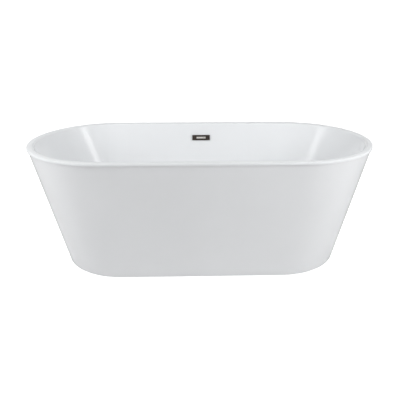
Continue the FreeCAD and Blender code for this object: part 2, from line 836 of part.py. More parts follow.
def make_drain_flange():
    """The visible ring with its threaded tube, and three spokes that carry a hub."""
    body = new_body("drain_flange")
    spin(body, "Revolution", "Ring", [
        ("drain_tube_bore", "drain_tube_base"), ("drain_tube_radius", "drain_tube_base"),
        ("drain_tube_radius", FLANGE_BASE), ("drain_flange_radius", FLANGE_BASE),
        ("drain_flange_radius", f"{FLANGE_BASE} + chamfer"),
        ("drain_flange_radius - flange_slope", FLANGE_TOP),
        ("drain_tube_bore + mouth_flare", FLANGE_TOP), ("drain_tube_bore", f"{FLANGE_TOP} - mouth_deep")])
    hub = new_sketch(body, "HubOutline", "hub_base")
    draw_circle(hub, "hub_radius")
    pad(body, "Hub", hub, "hub_thick")
    arms = new_sketch(body, "Spokes", "hub_base")
    draw_rectangle(arms, "2 * drain_tube_bore + overlap", "spoke_wide")
    pad(body, "SpokeBar", arms, "hub_thick")
    cross = new_sketch(body, "CrossSpokes", "hub_base")
    draw_rectangle(cross, "spoke_wide", "2 * drain_tube_bore + overlap")
    pad(body, "CrossBar", cross, "hub_thick")
    thread = new_sketch(body, "HubThread", "hub_base")
    draw_circle(thread, "cartridge_thread + thread_slack")
    pocket(body, "HubCut", thread, "4 * hub_thick")
    return body


def make_washer(label, inner, outer, base, thick):
    body = new_body(label)
    outline = new_sketch(body, "Outline", base)
    draw_circle(outline, outer)
    draw_circle(outline, inner)
    pad(body, "Washer", outline, thick)
    return body


def make_drain_body():
    """The moulded waste body under the bowl: a chamber with a side port and an outlet socket."""
    body = new_body("drain_body")
    bore = "drain_tube_radius + fit_slack"
    room = "chamber_radius - chamber_wall"
    spin(body, "Revolution", "Shell", [
        (bore, BODY_TOP), (bore, "chamber_top"), (room, "chamber_top - chamber_slope"),
        (room, "chamber_base"),
        ("tail_bore", "outlet_top"), ("tail_bore", "tail_top + fit_slack"),
        ("tail_neck + fit_slack", "tail_top + fit_slack"), ("tail_neck + fit_slack", "outlet_base"),
        ("outlet_radius", "outlet_base"), ("outlet_radius", "outlet_top"),
        ("chamber_radius", "chamber_base"),
        ("chamber_radius", "chamber_top"), ("body_radius", "chamber_top + chamber_slope"),
        ("body_radius", f"{BODY_TOP} - body_flange_thick"),
        ("body_flange_radius", f"{BODY_TOP} - body_flange_thick"), ("body_flange_radius", BODY_TOP)])
    root = "(chamber_radius - chamber_wall / 2)"
    port = new_sketch(body, "PortOutline", f"-{root}", "XZ_Plane")
    draw_circle(port, "hose_bore - thread_slack", "0", "port_level")
    spigot = pad(body, "Port", port, f"port_end - {root}")
    spigot.Reversed = True
    bore_sketch = new_sketch(body, "PortBore", "-port_end", "XZ_Plane")
    draw_circle(bore_sketch, "spigot_bore", "0", "port_level")
    pocket(body, "PortCut", bore_sketch, "2 * (port_end - chamber_radius + 2 * chamber_wall)")
    return body

    """The outlet pipe: a full-size end below a shoulder, and a neck up through the nut and washer."""
def make_tailpiece():
    """The outlet pipe: below its shoulder is the full-size end, and its neck goes up through nut and washer."""
    return turned("tailpiece", [
        ("tail_bore", "tail_base"), ("tail_radius", "tail_base"),
        ("tail_radius", "tail_free_top"), ("tail_neck", "tail_free_top"),
        ("tail_neck", "tail_top"), ("tail_bore", "tail_top")])


def make_slip_nut():
    """The union nut that squeezes the slip washer against the outlet."""
    return turned("slip_nut", [
        ("tail_neck + nut_slack", "slip_nut_base"), ("slip_nut_radius", "slip_nut_base"),
        ("slip_nut_radius", "slip_nut_top"), ("outlet_radius + fit_slack", "slip_nut_top"),
        ("outlet_radius + fit_slack", "outlet_base - slip_washer_thick"),
        ("tail_neck + nut_slack", "outlet_base - slip_washer_thick")])


def make_stopper_cap():
    return turned("stopper_cap", [
        ("0", f"{STOPPER_BASE} + stem_stub"),
        ("cartridge_thread + thread_slack", f"{STOPPER_BASE} + stem_stub"),
        ("cartridge_thread + thread_slack", STOPPER_BASE), ("stopper_radius - chamfer", STOPPER_BASE),
        ("stopper_radius", f"{STOPPER_BASE} + chamfer"),
        ("stopper_radius", f"{STOPPER_BASE} + stopper_thick - chamfer"),
        ("dome_shoulder", f"{STOPPER_BASE} + stopper_thick + shoulder_rise"),
        ("dome_crown", f"{STOPPER_BASE} + stopper_thick + crown_rise"),
        ("0", f"{STOPPER_BASE} + stopper_thick + stopper_dome")])


def make_stopper_stem():
    return turned("stopper_stem", [
        ("0", "stem_base"), ("stem_radius", "stem_base"), ("stem_radius", STOPPER_BASE),
        ("cartridge_thread", STOPPER_BASE), ("cartridge_thread", f"{STOPPER_BASE} + stem_stub"),
        ("0", f"{STOPPER_BASE} + stem_stub")])


HUB_TOP = "(hub_base + hub_thick)"
THREAD_END = "(hub_base - thread_over)"


def make_stopper_cartridge():
    """The click cartridge: a cup screwed into the drain's hub, in which the stem slides."""
    return turned("stopper_cartridge", [
        ("0", THREAD_END), ("cartridge_thread", THREAD_END), ("cartridge_thread", HUB_TOP),
        ("cartridge_radius", HUB_TOP), ("cartridge_radius", "cartridge_top"),
        ("stem_radius + fit_slack", "cartridge_top"),
        ("stem_radius + fit_slack", f"{HUB_TOP} + cartridge_floor"), ("0", f"{HUB_TOP} + cartridge_floor")])


def make_stopper_spring():
    body = new_body("stopper_spring")
    wire = new_sketch(body, "Wire", "0", "XZ_Plane")
    draw_circle(wire, "spring_wire", "spring_coil", f"{HUB_TOP} + cartridge_floor + spring_wire + coil_gap")
    coil = body.newObject("PartDesign::AdditiveHelix", "Coil")
    coil.Profile = wire
    coil.ReferenceAxis = (wire, ["V_Axis"])
    coil.Mode = "pitch-height-angle"
    bind(coil, Pitch="spring_pitch",
         Height=f"stem_base - {HUB_TOP} - cartridge_floor - 2 * spring_wire - 2 * coil_gap")
    coil.Angle = 0
    return body


# ---------------------------------------------------------------- overflow

def wall_plate(label, length, tall, base, thick):
    """A plain plate on the wall's plane."""
    body = wall_body(label)
    outline = new_sketch(body, "Outline", base)
    draw_rectangle(outline, length, tall)
    pad(body, "Plate", outline, thick)
    return body


COVER_SCREWS = [("-cover_screw_reach", "0"), ("cover_screw_reach", "0")]


def face_outline(shape, level, half_length):
    """The outermost edges of a plate's face at one height in the plate's own frame."""
    names = []
    for index, edge in enumerate(shape.Edges, 1):
        box = edge.BoundBox
        flat = abs(box.ZMin - level) < NEAR and abs(box.ZMax - level) < NEAR
        if flat and max(box.XMax, -box.XMin) > half_length - NEAR:
            names.append(f"Edge{index}")
    return names


def make_overflow_cover():
    """The cover: a plate with one long slot and two screw seats."""
    body = wall_plate("overflow_cover", "cover_length", "cover_tall", "gasket_thick", "cover_thick")
    face = "(gasket_thick + cover_thick)"
    slot = new_sketch(body, "Slot", face)
    draw_rectangle(slot, "slot_length", "slot_tall")
    pocket(body, "SlotCut", slot, "4 * cover_thick")
    holes = new_sketch(body, "ScrewHoles", face)
    draw_circles(holes, "cover_screw_radius + fit_slack", COVER_SCREWS)
    pocket(body, "HoleCut", holes, "4 * cover_thick")
    seats = new_sketch(body, "ScrewSeats", face)
    draw_circles(seats, "cover_screw_head + fit_slack", COVER_SCREWS)
    pocket(body, "SeatCut", seats, "2 * cover_screw_head_thick")
    doc.recompute()
    edges = face_outline(body.Tip.Shape, number(face), number("cover_length / 2"))
    round_edges(body, "FaceRound", (body.Tip, edges), "cover_round")
    return body


def make_overflow_insert():
    """The bar inside the cover's slot, held by its two ends."""
    return wall_plate("overflow_insert", "slot_length", "insert_tall",
                      "gasket_thick + cover_thick - insert_set_back - insert_thick", "insert_thick")


def make_wall_gasket(label, length, tall, base, thick):
    body = wall_plate(label, length, tall, base, thick)
    slot = new_sketch(body, "Slot", base)
    draw_rectangle(slot, "wall_slot_length", "wall_slot_tall")
    pocket(body, "SlotCut", slot, f"3 * ({thick})")
    return body


GASKET_BACK = "(-bowl_wall - backing_wall - back_gasket_thick)"


def make_overflow_body():
    """The flat moulded duct behind the wall, with a spigot for the hose at its foot."""
    body = wall_body("overflow_body")
    deep = "housing_deep"
    back = f"({GASKET_BACK} - {deep})"
    housing = new_sketch(body, "Housing", back)
    draw_rectangle(housing, "housing_length", "housing_tall")
    pad(body, "HousingPad", housing, deep)
    duct = new_sketch(body, "Duct", back)
    tall = "(-duct_end)"
    draw_rectangle(duct, "duct_wide", tall, "0", f"-{tall} / 2")
    pad(body, "DuctPad", duct, deep)
    shoe_back = f"({GASKET_BACK} - shoe_deep)"
    shoe = new_sketch(body, "Shoe", shoe_back)
    draw_rectangle(shoe, "shoe_wide", "shoe_tall", "0", "duct_end + shoe_tall / 2")
    pad(body, "ShoePad", shoe, "shoe_deep")
    spigot = new_sketch(body, "Spigot", "-duct_end - overlap", "XZ_Plane")
    draw_circle(spigot, "hose_bore - thread_slack", "0", "hose_depth")
    pad(body, "SpigotPad", spigot, "spigot_long + overlap")
    rooms = (
            ("HousingRoom", "2 * cover_screw_reach - 2 * screw_boss",
             "housing_tall - 2 * housing_wall", "0", f"{back} + housing_wall", GASKET_BACK),
            ("DuctRoom", "duct_wide - 2 * housing_wall", f"{tall} - 2 * housing_wall",
             f"-{tall} / 2", f"{back} + housing_wall", f"{GASKET_BACK} - housing_wall"),
            ("ShoeRoom", "shoe_wide - 2 * housing_wall", "shoe_tall - 2 * housing_wall",
             "duct_end + shoe_tall / 2", f"{shoe_back} + housing_wall", f"{GASKET_BACK} - housing_wall"))
    for name, wide, part, middle, low, high in rooms:
        room = new_sketch(body, name, f"(({low}) + ({high})) / 2")
        draw_rectangle(room, wide, part, "0", middle)
        pocket(body, name + "Cut", room, f"({high}) - ({low})")
    bore = new_sketch(body, "SpigotBore", "-duct_end + spigot_long", "XZ_Plane")
    draw_circle(bore, "spigot_bore", "0", "hose_depth")
    pocket(body, "SpigotCut", bore, "2 * (spigot_long + 2 * housing_wall)")
    holes = new_sketch(body, "ScrewHoles", GASKET_BACK)
    draw_circles(holes, "cover_screw_radius + fit_slack", COVER_SCREWS)
    pocket(body, "ScrewCut", holes, "2 * (housing_deep - housing_wall)")
    return body


def make_overflow_screws():
    body = wall_body("overflow_screws")
    face = "(gasket_thick + cover_thick)"
    heads = new_sketch(body, "Heads", f"{face} - cover_screw_head_thick")
    draw_circles(heads, "cover_screw_head", COVER_SCREWS)
    pad(body, "HeadPad", heads, "cover_screw_head_thick - fit_slack")
    shanks = new_sketch(body, "Shanks", f"{face} - cover_screw_length")
    draw_circles(shanks, "cover_screw_radius", COVER_SCREWS)
    pad(body, "ShankPad", shanks, "cover_screw_length - cover_screw_head_thick")
    return body


def wall_point(up, out):
    """A point in the middle plane of the tub, from its place on the overflow's wall."""
    tilt = math.radians(number(lean("width")))
    reach, level = number(WALL_REACH), number("overflow_level")
    return Vector(0, reach + up * math.sin(tilt) - out * math.cos(tilt),
                  level + up * math.cos(tilt) + out * math.sin(tilt))


BEND_SHARE = 0.45


def hose_path():
    """The hose's line: down along the wall from the duct, one arc, then level to the waste body's port."""
    start = wall_point(number("duct_end"), number("hose_depth"))
    down = (wall_point(number("duct_end") - 1, number("hose_depth")) - start).normalize()
    end = Vector(0, number("hose_start"), number("port_level"))
    corner = start + down * ((start.z - end.z) / -down.z)
    level = (end - corner).normalize()
    turn = down.getAngle(level)
    short = min((corner - start).Length, (end - corner).Length)
    back_off = BEND_SHARE * short
    radius = back_off / math.tan(turn / 2)
    first, last = corner - down * back_off, corner + level * back_off
    inward = (level - down).normalize()
    middle = corner + inward * (radius / math.cos(turn / 2) - radius)
    print(f"overflow_hose: arc radius {radius:.1f}")
    return Part.Wire([Part.LineSegment(start, first).toShape(), Part.Arc(first, middle, last).toShape(),
                      Part.LineSegment(last, end).toShape()]), start, down


def make_overflow_hose():
    path, start, down = hose_path()
    tubes = []
    for radius in number("hose_radius"), number("hose_bore"):
        ring = Part.Wire(Part.Circle(start, down, radius).toShape())
        tubes.append(path.makePipeShell([ring], True, False))
    hose = piece("Part::Feature", "overflow_hose")
    hose.Shape = tubes[0].cut(tubes[1])
    section = math.pi * (number("hose_radius") ** 2 - number("hose_bore") ** 2)
    print(f"overflow_hose: length {path.Length:.1f}, volume over section times length "
          f"{hose.Shape.Volume / (section * path.Length):.4f}")
    return hose


def make_hose_clamp(label, on_duct):
    """The band round a hose end, with its tightening block."""
    if on_duct:
        body = wall_body(label)
        plane, offset, centre = "XZ_Plane", "-duct_end + clamp_inset", ("0", "hose_depth")
    else:
        body = new_body(label)
        plane, offset, centre = "XZ_Plane", "-hose_start - clamp_inset", ("0", "port_level")
    band = new_sketch(body, "Band", offset, plane)
    draw_circle(band, "hose_radius + clamp_wall + thread_slack", *centre)
    draw_circle(band, "hose_radius + thread_slack", *centre)
    made = pad(body, "BandPad", band, "clamp_wide")
    made.Reversed = not on_duct
    lug = new_sketch(body, "Lug", offset, plane)
    draw_rectangle(lug, "lug_wide", "lug_tall",
                   f"{centre[0]} + hose_radius + clamp_wall + lug_reach", centre[1])
    made = pad(body, "LugPad", lug, "clamp_wide")
    made.Reversed = not on_duct
    return body


# ---------------------------------------------------------------- assembly

make_inner_basin()
make_basin_backing()
make_outer_skirt()
make_rim_bond_bead()
make_skirt_base_ring()
make_floor_board()
for side, sign in SIDES:
    make_rail(side, sign)
for end, sign in BRACKET_SPOTS:
    make_crossbar(end, "end", sign)
    make_crossbar(end, "inner", sign)
make_tube_end_caps()
make_frame_screws()
for end, end_sign in BRACKET_SPOTS:
    for side, side_sign in SIDES:
        make_skirt_bracket(end, end_sign, side, side_sign)
make_bracket_screws()
make_nuts("foot_weld_nuts", f"{BAR_BASE} - weld_nut_tall", "weld_nut_tall", "weld_nut_across")
make_nuts("foot_lock_nuts", f"{BAR_BASE} - weld_nut_tall - lock_nut_tall", "lock_nut_tall",
          "weld_nut_across")
for place, (x, y) in FEET.items():
    make_foot_pad(place, x, y)
    make_foot_stud(place, x, y)
make_drain_flange()
make_washer("drain_top_gasket", "drain_hole", "drain_flange_radius - chamfer", SEAT_LEVEL,
            "drain_gasket_thick")
make_washer("drain_under_gasket", "drain_hole", "body_flange_radius", BODY_TOP, "under_gasket_thick")
make_drain_body()
make_tailpiece()
make_washer("slip_washer", "tail_neck", "outlet_radius", "outlet_base - slip_washer_thick",
            "slip_washer_thick")
make_slip_nut()
make_stopper_cap()
make_washer("stopper_seal", "seal_inner", "seal_outer", f"{FLANGE_TOP} + stopper_gap", "seal_thick")
make_stopper_stem()
make_stopper_cartridge()
make_stopper_spring()
make_overflow_cover()
make_overflow_insert()
make_wall_gasket("overflow_front_gasket", "cover_length - 2 * gasket_margin",
                 "cover_tall - 2 * gasket_margin", "0", "gasket_thick")
make_wall_gasket("overflow_back_gasket", "housing_length", "housing_tall", GASKET_BACK, "back_gasket_thick")
make_overflow_body()
make_overflow_screws()
make_overflow_hose()
make_hose_clamp("hose_clamp_top", True)
make_hose_clamp("hose_clamp_bottom", False)

doc.recompute()
for item in doc.Objects:
    if "Invalid" in item.State or "Error" in item.State:
        raise SystemExit(f"{item.Label} failed: {item.State}")
for made in PIECES:
    if made.Shape.isNull() or not made.Shape.isValid() or not made.Shape.Solids:
        raise SystemExit(f"{made.Label} has no valid shape")
os.makedirs("parts", exist_ok=True)
for made in PIECES:
    made.Shape.exportStep(f"parts/{made.Label}.step")
print(f"{len(PIECES)} pieces written")
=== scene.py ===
"""The looks of a freestanding acrylic bathtub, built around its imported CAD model. Metres; +Z is up."""
import json
import math

import bmesh
import bpy
from mathutils import Matrix, Vector


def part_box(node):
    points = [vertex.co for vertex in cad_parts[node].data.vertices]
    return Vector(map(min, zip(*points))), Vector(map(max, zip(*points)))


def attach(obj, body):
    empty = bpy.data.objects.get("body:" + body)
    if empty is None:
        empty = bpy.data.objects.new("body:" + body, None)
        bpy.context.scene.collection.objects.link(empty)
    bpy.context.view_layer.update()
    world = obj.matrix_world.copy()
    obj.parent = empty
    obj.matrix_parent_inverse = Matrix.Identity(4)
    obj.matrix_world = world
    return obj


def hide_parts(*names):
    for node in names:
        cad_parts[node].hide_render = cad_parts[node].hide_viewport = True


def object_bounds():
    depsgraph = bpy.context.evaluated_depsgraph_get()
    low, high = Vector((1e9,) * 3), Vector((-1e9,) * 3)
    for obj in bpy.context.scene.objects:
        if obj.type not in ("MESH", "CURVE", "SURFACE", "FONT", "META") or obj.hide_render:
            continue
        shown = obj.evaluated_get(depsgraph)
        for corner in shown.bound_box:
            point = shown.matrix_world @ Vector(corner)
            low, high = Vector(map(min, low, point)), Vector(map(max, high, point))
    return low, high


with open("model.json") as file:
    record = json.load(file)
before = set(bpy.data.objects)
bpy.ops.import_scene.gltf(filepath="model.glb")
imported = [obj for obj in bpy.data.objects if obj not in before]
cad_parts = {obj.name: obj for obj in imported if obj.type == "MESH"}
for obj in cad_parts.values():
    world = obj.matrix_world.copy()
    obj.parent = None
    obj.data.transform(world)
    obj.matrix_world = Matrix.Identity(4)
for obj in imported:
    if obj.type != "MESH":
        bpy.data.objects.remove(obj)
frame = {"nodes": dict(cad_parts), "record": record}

CAD_LOW, CAD_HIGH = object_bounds()

# ---------------------------------------------------------------- sizes

TUB_HEIGHT = CAD_HIGH.z
RIM = {"length": CAD_HIGH.x - CAD_LOW.x, "width": CAD_HIGH.y - CAD_LOW.y}
OPENING = {"length": 1.640, "width": 0.740}
FLOOR = {"length": 1.200, "width": 0.560}
BASE = {"length": 1.384, "width": 0.620}

FLOOR_HEIGHT = 0.140
FLOOR_CURVE = 0.060  # the height of the curve between the floor and the wall
CURVE_GROWTH = 0.7  # how much higher the same curve is on the back, as a share of the wall's thickness
BOWL_WALL = 0.005
RIM_ROLL = 0.007
RIM_THICK = 0.0045
LIP_DROP = 0.014
LIP_WALL = 0.0025
LIP_ROUND = 0.006
LIP_EDGE_ROUND = 0.0015
OVERFLOW_LEVEL = 0.519

DRAIN_HOLE = 0.025
SEAT_RADIUS = 0.045
DISH_RADIUS = 0.090
DISH_DEEP = 0.003
BOSS_RADIUS = 0.055
BOSS_BASE = 0.130

SKIRT_GAP = 0.002
SKIRT_WALL = 0.005
SKIRT_SLACK = 0.0003
SKIRT_TOP = TUB_HEIGHT - RIM_THICK - 0.001
SKIRT_EDGE_ROUND = 0.0015
FLANGE_WIDTH = 0.012
FLANGE_THICK = 0.004

FEET = ("left_front", "left_back", "right_front", "right_back", "middle_left", "middle_right")
STUD_RADIUS = 0.006
STUD_CHAMFER = 0.001
THREAD_PITCH = 0.00175
THREAD_DEEP = 0.0009
HEX_ACROSS = 0.017
HEX_BEVEL = 0.08 * HEX_ACROSS
HEX_BASE = 0.022
HEX_TALL = 0.008

CAP_ROUND = 0.001
CAP_DOME = 0.002
CAP_EYE = 0.0003  # the small flat in the middle of each side, where the cap's points end

HOSE_RADIUS = 0.011
HOSE_BORE = 0.009
HOSE_VALLEY = 0.0098
HOSE_CUFF = 0.030
RIB_PITCH = 0.0042
DUCT_END = -0.255  # from the overflow, down the wall
HOSE_DEPTH = -0.022  # from the wall's inner face, outwards
HOSE_END = Vector((0, 0.042, 0.076))
BEND_SHARE = 0.45  # how much of the shorter run the bend takes

# how finely each shape is divided
END_POINTS, SIDE_POINTS = 72, 30
HUB_SHARES = {"length": 0.4, "width": 0.5}  # of the floor, for the stadium that directs a circle's points
FLOOR_SHARES = (0.12, 0.3, 0.5, 0.7, 0.86, 0.96)  # of the way from the dish's edge to the floor's outline
DISH_STEPS = 8
BOWL_STEPS = {"curve": 18, "wall": 16}
BACK_STEPS = {"curve": 12, "wall": 4}
ROLL_STEPS = 10
EDGE_STEPS = 5
SKIRT_STEPS = {"outside": 20, "inside": 10}
THREAD_POINTS, THREAD_STEPS = 20, 5
CAP_POINTS, CAP_STEPS, DOME_STEPS = 64, 5, 20
HOSE_POINTS, RIB_STEPS = 24, 6

# the angle in degrees over which a piece's edges are sharp
SHELL_SHARP, STUD_SHARP, CAP_SHARP, HOSE_SHARP = 40, 30, 35, 60


# ---------------------------------------------------------------- mesh helpers

def stadium_ring(length, width, level):
    """Points round two half circles joined by straight sides, anticlockwise from above."""
    radius, half = width / 2, (length - width) / 2
    points = []
    for centre, start in ((half, -90), (-half, 90)):
        for step in range(END_POINTS + 1):
            turn = math.radians(start + 180 * step / END_POINTS)
            points.append(Vector((centre + radius * math.cos(turn), radius * math.sin(turn), level)))
        corner = points[-1]
        for step in range(1, SIDE_POINTS):
            points.append(Vector((corner.x - 2 * centre * step / SIDE_POINTS, corner.y, level)))
    return points


def ring_by(size, level, *inputs):
    """A stadium ring whose length and width follow one rule."""
    return stadium_ring(size("length", *inputs), size("width", *inputs), level)


def circle_ring(radius, level):
    """A circle with as many points as a stadium ring, each in the direction of its partner on one."""
    hub = {side: FLOOR[side] * share for side, share in HUB_SHARES.items()}
    points = []
    for spot in stadium_ring(hub["length"], hub["width"], level):
        way = Vector((spot.x, spot.y, 0)).normalized()
        points.append(Vector((way.x * radius, way.y * radius, level)))
    return points


def round_ring(x, y, radius, level, count):
    """Points evenly round a circle, the first on its +X side."""
    turns = [2 * math.pi * point / count for point in range(count)]
    return [Vector((x + radius * math.cos(turn), y + radius * math.sin(turn), level)) for turn in turns]


def quarter_turn(steps):
    """The sine and cosine at each step of a quarter turn."""
    turns = [math.pi / 2 * step / steps for step in range(steps + 1)]
    return [(math.sin(turn), math.cos(turn)) for turn in turns]


def add_skin(made, rings, closed, material_of_ring=None):
    """Adds smooth faces from each ring to the next, and from the last to the first if it is closed."""
    loops = [[made.verts.new(point) for point in ring] for ring in rings]
    for number, (ring, after) in enumerate(zip(loops, loops[1:] + loops[:1] if closed else loops[1:])):
        for step in range(len(ring)):
            following = (step + 1) % len(ring)
            face = made.faces.new((ring[step], ring[following], after[following], after[step]))
            face.smooth = True
            if material_of_ring:
                face.material_index = material_of_ring(number)
    return loops


def add_rod(made, rings):
    """Adds a closed rod through rings, with a flat face at each end."""
    loops = add_skin(made, rings, False)
    made.faces.new(reversed(loops[0]))
    made.faces.new(loops[-1])


def piece_object(name, made, materials, sharp):
    """Turns a bmesh into an object of the scene."""
    bmesh.ops.recalc_face_normals(made, faces=made.faces)
    mesh = bpy.data.meshes.new(name)
    made.to_mesh(mesh)
    made.free()
    mesh.set_sharp_from_angle(angle=math.radians(sharp))
    for material in materials:
        mesh.materials.append(material)
    piece = bpy.data.objects.new(name, mesh)
    bpy.context.scene.collection.objects.link(piece)
    return piece


def shell_object(name, rings, materials, material_of_ring=None, sharp=SHELL_SHARP):
    """A closed solid through rings that follow each other round its section, the last joined to the first."""
    made = bmesh.new()
    add_skin(made, rings, True, material_of_ring)
    return piece_object(name, made, materials, sharp)


# ---------------------------------------------------------------- materials

class Nodes:
    """A small helper for writing a node material."""

    def __init__(self, name):
        self.material = bpy.data.materials.new(name)
        self.material.use_nodes = True
        self.tree = self.material.node_tree
        self.tree.nodes.clear()
        self.output = self.add("ShaderNodeOutputMaterial")
        self.shader = self.add("ShaderNodeBsdfPrincipled")
        self.link(self.shader, "BSDF", self.output, "Surface")
        self.place = self.add("ShaderNodeTexCoord")

    def add(self, kind, **settings):
        """Adds a node. A setting is its property of that name, or else its socket, with _ for a space."""
        node = self.tree.nodes.new(kind)
        for name, value in settings.items():
            if hasattr(node, name):
                setattr(node, name, value)
            else:
                node.inputs[name.replace("_", " ")].default_value = value
        return node

    def link(self, node, output, target, socket):
        self.tree.links.new(node.outputs[output], target.inputs[socket])

    def noise(self, scale, detail, roughness=0.5, stretch=(1, 1, 1)):
        """Noise in the object's own metres, so it stays with the piece as it moves."""
        mapping = self.add("ShaderNodeMapping")
        mapping.inputs["Scale"].default_value = stretch
        self.link(self.place, "Object", mapping, "Vector")
        noise = self.add("ShaderNodeTexNoise", Scale=scale, Detail=detail, Roughness=roughness)
        self.link(mapping, "Vector", noise, "Vector")
        return noise

    def ramp(self, noise, low, high, start=0.3, end=0.7):
        """A value between low and high, or a colour, by how strong the noise is."""
        ramp = self.add("ShaderNodeValToRGB")
        self.link(noise, "Fac", ramp, "Fac")
        stops = ramp.color_ramp.elements
        stops[0].position, stops[1].position = start, end
        for stop, value in zip(stops, (low, high)):
            stop.color = (*value, 1) if hasattr(value, "__len__") else (value, value, value, 1)
        return ramp

    def bump(self, noise, strength, distance, below=None):
        """Relief by how strong the noise is, on top of another relief if there is one below."""
        bump = self.add("ShaderNodeBump", Strength=strength, Distance=distance)
        self.link(noise, "Fac", bump, "Height")
        if below:
            self.link(below, "Normal", bump, "Normal")
        return bump

    def set(self, **values):
        """Sets sockets of the shader, named with _ for a space."""
        for name, value in values.items():
            self.shader.inputs[name.replace("_", " ")].default_value = value


# above the first height the acrylic grows duller up to the second, from cleaning and from hands
RIM_WEAR = (0.590, 0.597)
RIM_WEAR_RISE = 0.30


def acrylic(name, tint_low, tint_high, gloss_low, gloss_high):
    """Vacuum-formed acrylic: a glossy skin with a faint orange peel, slow waves, smudges and a worn rim."""
    n = Nodes(name)
    cloud = n.noise(scale=2.2, detail=4)
    n.link(n.ramp(cloud, tint_low, tint_high), "Color", n.shader, "Base Color")
    smudge = n.noise(scale=9, detail=6, roughness=0.6)
    split = n.add("ShaderNodeSeparateXYZ")
    n.link(n.place, "Object", split, "Vector")
    worn = n.add("ShaderNodeMapRange", From_Min=RIM_WEAR[0], From_Max=RIM_WEAR[1], To_Max=RIM_WEAR_RISE)
    n.link(split, "Z", worn, "Value")
    gloss = n.add("ShaderNodeMath", operation="ADD")
    n.link(n.ramp(smudge, gloss_low, gloss_high, start=0.35, end=0.75), "Color", gloss, 0)
    n.link(worn, "Result", gloss, 1)
    n.link(gloss, "Value", n.shader, "Roughness")
    waves = n.bump(n.noise(scale=5, detail=1), strength=0.05, distance=0.004)
    peel = n.bump(n.noise(scale=420, detail=2), strength=0.02, distance=0.0004, below=waves)
    n.link(peel, "Normal", n.shader, "Normal")
    n.set(IOR=1.49, Specular_IOR_Level=0.22)
    return n.material


def glass_fibre(name, dark, light, roughness):
    """Sprayed chopped strands under resin."""
    n = Nodes(name)
    strands = n.noise(scale=160, detail=5, roughness=0.7, stretch=(1, 0.35, 2.5))
    n.link(n.ramp(strands, dark, light), "Color", n.shader, "Base Color")
    lumps = n.bump(n.noise(scale=45, detail=4), strength=0.6, distance=0.002)
    fine = n.bump(strands, strength=0.5, distance=0.001, below=lumps)
    n.link(fine, "Normal", n.shader, "Normal")
    n.set(Roughness=roughness)
    return n.material


def plain(name, dark, light, roughness, metallic=0.0, grain=60, stretch=(1, 1, 1), bump=0.1):
    """A grained material: plastic, rubber, metal or wood by its colours, roughness and grain direction."""
    n = Nodes(name)
    grains = n.noise(scale=grain, detail=5, roughness=0.6, stretch=stretch)
    n.link(n.ramp(grains, dark, light), "Color", n.shader, "Base Color")
    patches = n.noise(scale=grain * 0.4, detail=4)
    n.link(n.ramp(patches, *roughness), "Color", n.shader, "Roughness")
    n.link(n.bump(grains, strength=bump, distance=0.0005), "Normal", n.shader, "Normal")
    n.set(Metallic=metallic)
    return n.material


INNER_ACRYLIC = acrylic("inner_acrylic", (0.875, 0.885, 0.895), (0.895, 0.905, 0.915), 0.12, 0.17)
SKIRT_ACRYLIC = acrylic("skirt_acrylic", (0.845, 0.85, 0.86), (0.87, 0.875, 0.885), 0.14, 0.20)
GLASS_FIBRE = glass_fibre("glass_fibre_resin", (0.50, 0.46, 0.36), (0.74, 0.70, 0.58), 0.42)

ZINC = (0.56, 0.56, 0.52), (0.72, 0.71, 0.66)
PLATING = (0.74, 0.75, 0.76), (0.84, 0.85, 0.86), (0.16, 0.26), 0.8
BRUSHED = {"grain": 300, "stretch": (0.04, 5, 5), "bump": 0.04}

